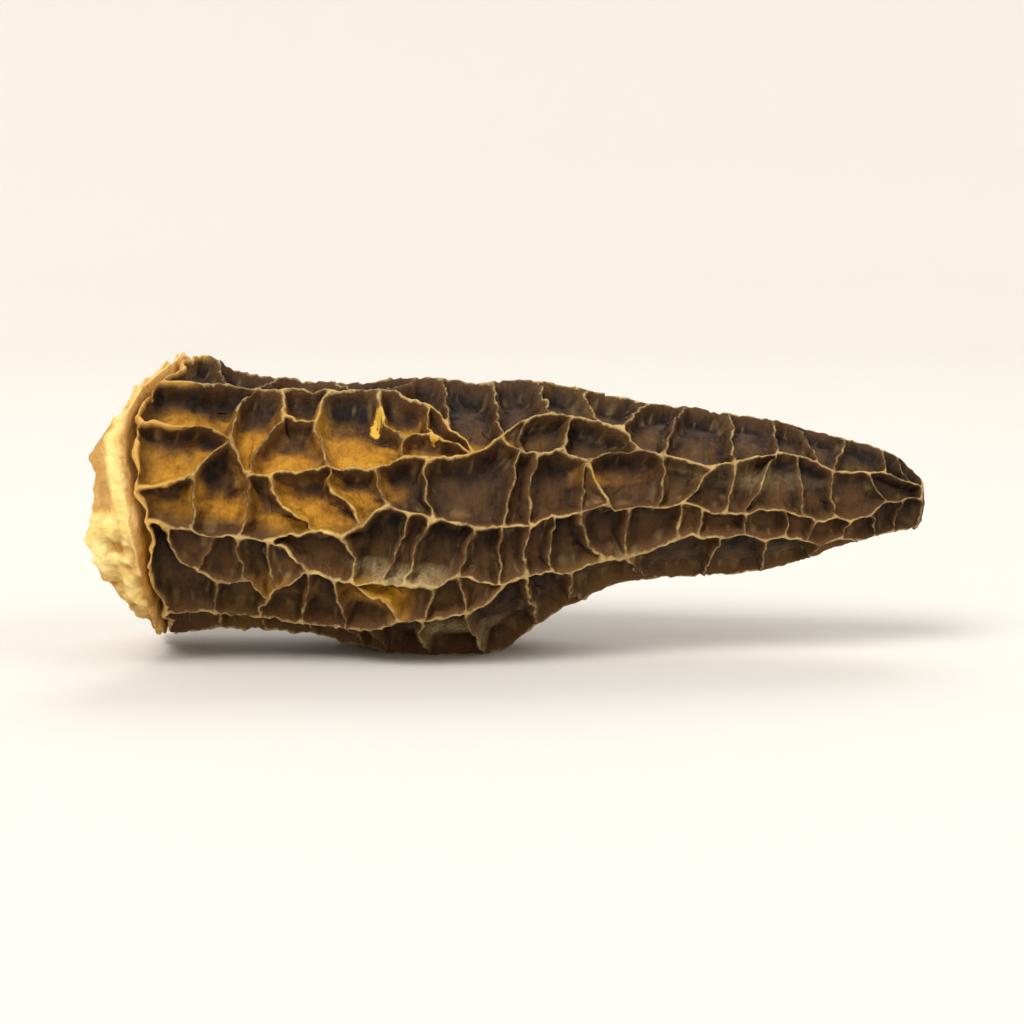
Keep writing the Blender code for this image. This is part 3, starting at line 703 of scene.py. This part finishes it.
def tear(bm):  # the ragged edge, the folds and cords outside, the fibres inside
    torn = bm.verts.layers.float["torn"]
    inner = bm.verts.layers.float["inner"]
    past = bm.verts.layers.float.new("past")
    fold = bm.verts.layers.float.new("fold")
    cordHighlight = bm.verts.layers.float.new("cordHighlight")
    for vert in bm.verts:
        x, angle, height = vert.co
        turn = math.radians(angle)
        around = Vector((math.cos(turn), math.sin(turn), 0)) * collar["radius"]
        beyond = roundMouth(edgeLine, angle) - x
        out = roundMouth(collarOut, angle)
        free = smoothStep(collar["lip"], collar["lip"] + 0.8, beyond)
        ragged = noise.noise(around * 0.22) + 0.6 * noise.noise(around * 0.6)
        ragged += 0.35 * noise.noise(around * 1.3)
        x -= (ragged - 0.2) * collar["ragged"] * vert[torn] * min(1.0, (out - 1.2) / 3)
        along = Vector((around.x * 0.4, around.y * 0.4, beyond * 0.3))
        folds = noise.noise(along) + 0.6 * noise.noise(along * 2.3) + 0.35 * noise.noise(along * 5.1)
        height += (folds - 0.1) * collar["folds"] * free
        wavy = Vector((around.x * 0.3, around.y * 0.3, beyond * 0.6 + 7))
        wavy += noise.noise_vector(around * 0.45 + Vector((0, 0, beyond * 0.5))) * 0.35
        cords = ridged(wavy, 2.4) * (0.75 + 0.6 * noise.noise(around * 0.9 + Vector((0, 0, beyond))))
        cords *= (1 - vert[inner]) * free * (1 - 0.65 * smoothStep(2.4, 4.2, beyond))
        height += collar["cordHigh"] * (cords - 0.25)
        fibres = ridged(Vector((around.x * 0.45, around.y * 0.45, beyond * 0.12)), 2.0)
        within = vert[inner] * smoothStep(-2.5, 1.0, beyond)
        height -= (fibres * 0.5 + 0.3 * noise.noise(around * 1.4)) * 0.7 * within
        # the mask for the painted highlight on the cords
        vert[cordHighlight] = min(1.0, max(0.0, cords * 1.2))
        vert[fold] = folds
        vert[past] = beyond
        vert.co = (x, angle, min(height, collar["highest"]))


def makeCollar():
    bm = refined(flatCollar(), collar["smooth"])
    tear(bm)
    wrapUp(bm)
    facedOut(bm, "collar")
    return dressedObject(bm, "torn_stem", "stem_stub")


collarPiece = makeCollar()


class Socket:  # a shader value that the arithmetic signs work on
    def __init__(self, tree, value):
        self.tree = tree
        self.value = value

    def maths(self, operation, one, other=None):
        given = {0: one} if other is None else {0: one, 1: other}
        return nodeOf(self.tree, "ShaderNodeMath", {"operation": operation}, given)

    def __add__(self, other):
        return self.maths("ADD", self, other)

    __radd__ = __add__

    def __sub__(self, other):
        return self.maths("SUBTRACT", self, other)

    def __rsub__(self, other):
        return self.maths("SUBTRACT", other, self)

    def __mul__(self, other):
        return self.maths("MULTIPLY", self, other)

    __rmul__ = __mul__

    def __truediv__(self, other):
        return self.maths("DIVIDE", self, other)

    def clamp(self):
        return nodeOf(self.tree, "ShaderNodeClamp", {}, {"Value": self})

    def ramp(self, low, high):
        return nodeOf(self.tree, "ShaderNodeMapRange", {"interpolation_type": "SMOOTHSTEP"},
                      {"Value": self, "From Min": low, "From Max": high})


def nodeOf(tree, kind, settings, given, output=0):
    node = tree.nodes.new(kind)
    for name, value in settings.items():
        setattr(node, name, value)
    for name, value in given.items():
        if isinstance(value, Socket):
            tree.links.new(value.value, node.inputs[name])
        else:
            node.inputs[name].default_value = value
    return Socket(tree, node.outputs[output])


def linear(red, green, blue):  # a colour as seen on screen, 0 to 255
    return tuple((c / 255 / 12.92) if c / 255 <= 0.04045 else ((c / 255 + 0.055) / 1.055) ** 2.4
                 for c in (red, green, blue)) + (1.0,)


def mixed(factor, one, other):  # two colours by a factor
    tree = factor.tree
    node = tree.nodes.new("ShaderNodeMix")
    node.data_type = "RGBA"
    for index, value in ((0, factor), (6, one), (7, other)):
        if isinstance(value, Socket):
            tree.links.new(value.value, node.inputs[index])
        else:
            node.inputs[index].default_value = value
    return Socket(tree, node.outputs[2])


def newMaterial(piece, name):
    material = bpy.data.materials.new(name)
    material.use_nodes = True
    tree = material.node_tree
    shader = tree.nodes["Principled BSDF"]
    piece.data.materials.append(material)
    return tree, shader


def attribute(tree, name):
    return nodeOf(tree, "ShaderNodeAttribute", {"attribute_name": name}, {}, 2)


def grain(tree, scale, detail=4.0, roughness=0.55, stretch=(1, 1, 1)):  # noise on the object's own place
    coords = nodeOf(tree, "ShaderNodeTexCoord", {}, {}, 3)
    place = nodeOf(tree, "ShaderNodeMapping", {}, {"Vector": coords, "Scale": stretch})
    given = {"Vector": place, "Scale": scale, "Detail": detail, "Roughness": roughness}
    return nodeOf(tree, "ShaderNodeTexNoise", {}, given)


def spots(tree, patches):  # soft patches on the map: x, angle, half length, half width in degrees, strength
    x = attribute(tree, "mapX")
    angle = attribute(tree, "mapAngle")
    total = None
    for atX, atAngle, halfX, halfAngle, strength in patches:
        dx = (x - atX) / halfX
        da = (angle - atAngle) / halfAngle
        patch = (1 - (dx * dx + da * da)).clamp() * strength
        total = patch if total is None else total + patch
    return total.clamp()


capLook = {
    "pit": linear(92, 62, 34),
    "pitWarm": linear(118, 84, 40),
    # the darkest brown, for the painted shade deep in the pits; it also darkens the tip
    "pitDeep": linear(30, 20, 13),
    "vein": linear(132, 104, 64),
    "spur": linear(168, 138, 90),
    # amber and amberDeep: painted light through the thin flesh, lit and shaded
    "amber": linear(204, 146, 40),
    "amberDeep": linear(116, 70, 20),
    "crest": linear(212, 180, 114),
    "crestGold": linear(228, 182, 92),
    "crestDark": linear(140, 110, 68),
    "faded": linear(170, 146, 102),
    "knot": linear(226, 178, 70),
    "goldEdge": linear(214, 164, 84),
    "inside": linear(176, 146, 100),
    "amberPatches": [  # x, angle, half length, half width in degrees, strength
        (4, 36, 9, 24, 1.3), (14, 42, 11, 26, 1.3), (23, 46, 8, 22, 1.2), (5, 12, 9, 15, 1.1),
        (14, 10, 9, 16, 1.1), (21, 20, 4, 10, 0.6), (30, 42, 6, 9, 0.9), (23, -27, 4.5, 10, 1.1),
        (14, -32, 5, 9, 0.45), (45, 24, 5, 10, 1.0), (46, -38, 5, 6, 0.5), (12, 150, 14, 30, 0.7),
        (40, 120, 10, 25, 0.5), (30, -150, 12, 24, 0.6), (60, -160, 8, 30, 0.4),
    ],
    "fadedPatches": [
        (25, -15, 6.5, 5, 1.0), (47, -34, 5, 6, 0.8), (60, 24, 8, 12, 0.4), (32, -54, 6, 14, 0.8),
    ],
    "knots": [(20.3, 56, 1.5, 11, 1.0), (26.5, 46, 1.2, 5, 0.9)],
}


def dressCap(piece):
    tree, shader = newMaterial(piece, "dried_cap")
    crest = attribute(tree, "crest")
    strength = attribute(tree, "strength")
    tone = attribute(tree, "pitTone")
    inner = attribute(tree, "inner")
    lit = attribute(tree, "lit")
    low = attribute(tree, "low")
    calm = attribute(tree, "calm")
    vein = attribute(tree, "vein")
    x = attribute(tree, "mapX")
    wide = grain(tree, 90, 3)
    coarse = grain(tree, 260, 5)
    medium = grain(tree, 700, 4)
    fine = grain(tree, 2600, 3)
    ribs = grain(tree, 1100, 3, stretch=(1, 0.25, 0.25))  # wrinkles down the walls of the pits
    # Painted shade: the pits get darker with depth and on the walls that face down, a little lighter at the
    # middle of the floor, each by a tone of its own.
    shade = low * 0.62 - calm * 0.22 + tone * 0.22 + medium * 0.8 + ribs * 0.55 - lit * 0.42
    shade = (shade * 1.25 - 0.72).clamp()
    warm = (tone.ramp(0.55, 1.0) * 0.6 + (wide - 0.5) * 1.4).clamp()
    pit = mixed(shade, mixed(warm, capLook["pit"], capLook["pitWarm"]), capLook["pitDeep"])
    pit = mixed((vein.ramp(0.45, 1.0) * (0.2 + medium * 0.4)).clamp(), pit, capLook["vein"])
    spurs = vein.ramp(0.6, 1.0) * (1.15 - low * 1.1) * (medium * 2.2 - 0.5)
    pit = mixed(spurs.clamp() * 0.85, pit, capLook["spur"])
    # Painted light: thin flesh glows amber in some pits as if light passed through it, most on the walls
    # that face up, with painted shade on the walls that face down.
    zone = spots(tree, capLook["amberPatches"])
    amber = (zone * (lit + (coarse - 0.5) * 0.9).ramp(0.1, 0.85) + zone * vein * 0.3).clamp()
    glowShade = (0.9 - lit * 0.6 + (medium - 0.5) * 1.6 + (fine - 0.5) * 0.8).clamp()
    glow = mixed(glowShade, capLook["amber"], capLook["amberDeep"])
    pit = mixed(amber, pit, glow)
    faded = spots(tree, capLook["fadedPatches"]) * (ribs * 1.6 + fine * 1.4 - 1.0).clamp() * 1.2
    pit = mixed(faded.clamp(), pit, capLook["faded"])
    knots = (spots(tree, capLook["knots"]) + (medium - 0.5) * 2.2).ramp(0.7, 0.9)
    pit = mixed(knots.clamp(), pit, capLook["knot"])
    # The crests are pale lines, wider on the long ridges and worn through here and there.
    lineColor = mixed((zone * 1.2).clamp(), capLook["crest"], capLook["crestGold"])
    lineColor = mixed((fine * 1.1 + coarse * 1.1 - 0.75).clamp(), lineColor, capLook["crestDark"])
    worn = wide.ramp(0.35, 0.65)
    start = 1.0 - strength * 0.17 - worn * 0.06
    line = ((crest + (medium - 0.5) * 0.45 + (fine - 0.5) * 0.35 - start) / 0.2).clamp()
    line = line * (0.4 + strength * 0.5 + worn * 0.25).clamp()
    color = mixed(line.clamp(), pit, lineColor)
    edge = (1 - x.ramp(0.6, 2.6)) * (1 - inner.ramp(0.6, 1.0)) * crest.ramp(0.3, 0.8)
    color = mixed((edge * 0.8).clamp(), color, capLook["goldEdge"])
    tip = x.ramp(69, 74) * (1 - line * 0.7) * 0.5
    color = mixed(tip.clamp(), color, capLook["pitDeep"])
    color = mixed(inner.ramp(0.4, 0.9), color, capLook["inside"])
    tree.links.new(color.value, shader.inputs["Base Color"])
    rough = 0.55 + medium * 0.3 + line * 0.1
    tree.links.new(rough.value, shader.inputs["Roughness"])
    relief = medium * 0.6 + fine * 0.3 + coarse * 0.4 + ribs * 0.9
    bump = nodeOf(tree, "ShaderNodeBump", {}, {"Strength": 0.8, "Distance": 0.0006, "Height": relief})
    tree.links.new(bump.value, shader.inputs["Normal"])
    shader.inputs["Specular IOR Level"].default_value = 0.2


collarLook = {
    "flesh": linear(238, 202, 112),
    "pale": linear(250, 226, 150),
    "gold": linear(216, 164, 74),
    # painted shade in the collar's folds
    "goldDeep": linear(172, 120, 48),
    "ochre": linear(184, 138, 72),
    # painted highlight on the cords and along the band by the cap's edge
    "cordHighlight": linear(246, 210, 136),
    "inside": linear(216, 182, 112),
    # painted shade deep inside the mouth
    "insideDeep": linear(142, 104, 54),
}


def dressCollar(piece):
    tree, shader = newMaterial(piece, "torn_flesh")
    torn = attribute(tree, "torn")
    inner = attribute(tree, "inner")
    angle = attribute(tree, "mapAngle")
    past = attribute(tree, "past")
    fold = attribute(tree, "fold")
    cordHighlight = attribute(tree, "cordHighlight")
    streaks = grain(tree, 500, 4, stretch=(0.35, 1, 1))
    mottle = grain(tree, 220, 4)
    medium = grain(tree, 800, 4)
    fine = grain(tree, 2200, 3)
    color = mixed(streaks.ramp(0.35, 0.65), collarLook["flesh"], collarLook["pale"])
    below = 1 - angle.ramp(-46, -26)
    gold = (1 - past.ramp(1.1, 2.6) + below * 0.55 + (mottle - 0.5) * 0.9).clamp()
    # Painted shade: a deeper gold in the hollows of the folds, with a random tone, and darker still where
    # the folds sink lowest.
    foldShade = (0.75 - fold * 0.9 + (medium - 0.5) * 1.6).clamp()
    goldTone = mixed(foldShade, collarLook["gold"], collarLook["goldDeep"])
    color = mixed((gold * 0.92).clamp(), color, goldTone)
    color = mixed(((-0.05 - fold) * 1.4).clamp(), color, collarLook["goldDeep"])
    ochre = angle.ramp(-1, 3) * (1 - angle.ramp(34, 44)) * past.ramp(2.6, 3.3)
    color = mixed((ochre * (mottle * 0.6 + 0.6)).clamp(), color, collarLook["ochre"])
    # Painted highlight: cream streaks along the band next to the cap's edge.
    rim = angle.ramp(-8, 0) * past.ramp(0.1, 0.8) * (1 - past.ramp(1.9, 2.7)) * streaks.ramp(0.3, 0.55)
    color = mixed((rim * 0.75).clamp(), color, collarLook["cordHighlight"])
    # Painted highlight: cream on the crests of the wavy cords.
    color = mixed((cordHighlight.ramp(0.45, 1.0) * (0.3 + medium)).clamp(), color, collarLook["cordHighlight"])
    color = mixed((torn * mottle.ramp(0.35, 0.65) * 0.4).clamp(), color, collarLook["gold"])
    fibres = grain(tree, 700, 4, stretch=(0.15, 1, 1))
    # Painted shade: the inside darkens farther into the mouth, broken into streaks by the fibres.
    far = (1.1 - past.ramp(-3.0, 3.0) + (fibres - 0.5) * 2.4).clamp()
    within = mixed(far, collarLook["inside"], collarLook["insideDeep"])
    color = mixed((inner * 0.9).clamp(), color, within)
    tree.links.new(color.value, shader.inputs["Base Color"])
    tree.links.new((0.55 + mottle * 0.25).value, shader.inputs["Roughness"])
    relief = streaks * 0.5 + fine * 0.25 + mottle * 0.4 + medium * 0.6
    bump = nodeOf(tree, "ShaderNodeBump", {}, {"Strength": 0.8, "Distance": 0.0007, "Height": relief})
    tree.links.new(bump.value, shader.inputs["Normal"])
    shader.inputs["Specular IOR Level"].default_value = 0.3


dressCap(capPiece)
dressCollar(collarPiece)
print("materials done")

studio = {
    "floor": linear(222, 218, 210),
    "sky": linear(236, 236, 238),
    "skyStrength": 0.4,
    "lens": 90,
    "distance": 0.268,
    "elevation": 8,
    "aim": (0.0, 0.0, 0.0145),
    # The floor's rings: radius, height.
    "dish": [(0.42, 0.0), (0.5, 0.012), (0.58, 0.05), (0.66, 0.12), (0.7, 0.22), (0.72, 0.5)],
    "lights": [  # place, size, watts
        ((-0.50, -0.75, 1.05), 0.7, 16.0),
        ((0.85, -0.45, 0.7), 0.8, 5.0),
        ((0.1, 0.9, 0.9), 0.8, 7.0),
    ],
}


def makeFloor():  # a round floor that curves up all round, so it has no horizon
    bm = bmesh.new()
    bmesh.ops.create_circle(bm, segments=96, radius=studio["dish"][0][0], cap_ends=True)
    rim = [e for e in bm.edges if e.is_boundary]
    for radius, height in studio["dish"][1:]:
        rim = drawnOn(bm, rim)
        for vert in {v for e in rim for v in e.verts}:
            vert.co = Vector((vert.co.x, vert.co.y, 0)).normalized() * radius + Vector((0, 0, height))
    bmesh.ops.recalc_face_normals(bm, faces=bm.faces[:])
    mesh = bpy.data.meshes.new("floor")
    bm.to_mesh(mesh)
    bm.free()
    mesh.shade_smooth()
    floor = bpy.data.objects.new("floor", mesh)
    bpy.context.collection.objects.link(floor)
    _, shader = newMaterial(floor, "plain_floor")
    shader.inputs["Base Color"].default_value = studio["floor"]
    shader.inputs["Roughness"].default_value = 0.8


def makeStudio():
    makeFloor()
    world = bpy.data.worlds.new("studio")
    world.use_nodes = True
    world.node_tree.nodes["Background"].inputs["Color"].default_value = studio["sky"]
    world.node_tree.nodes["Background"].inputs["Strength"].default_value = studio["skyStrength"]
    bpy.context.scene.world = world
    aim = Vector(studio["aim"])
    for place, size, watts in studio["lights"]:
        light = bpy.data.lights.new("softbox", "AREA")
        light.size = size
        light.energy = watts
        lamp = bpy.data.objects.new("softbox", light)
        lamp.location = place
        lamp.rotation_euler = (aim - Vector(place)).to_track_quat("-Z", "Y").to_euler()
        bpy.context.collection.objects.link(lamp)
    camera = bpy.data.cameras.new("camera")
    camera.lens = studio["lens"]
    holder = bpy.data.objects.new("camera", camera)
    rise = math.radians(studio["elevation"])
    holder.location = aim + Vector((0, -math.cos(rise), math.sin(rise))) * studio["distance"]
    holder.rotation_euler = (aim - holder.location).to_track_quat("-Z", "Y").to_euler()
    bpy.context.collection.objects.link(holder)
    bpy.context.scene.camera = holder
    bpy.context.scene.view_settings.view_transform = "Standard"


makeStudio()
print("studio done")
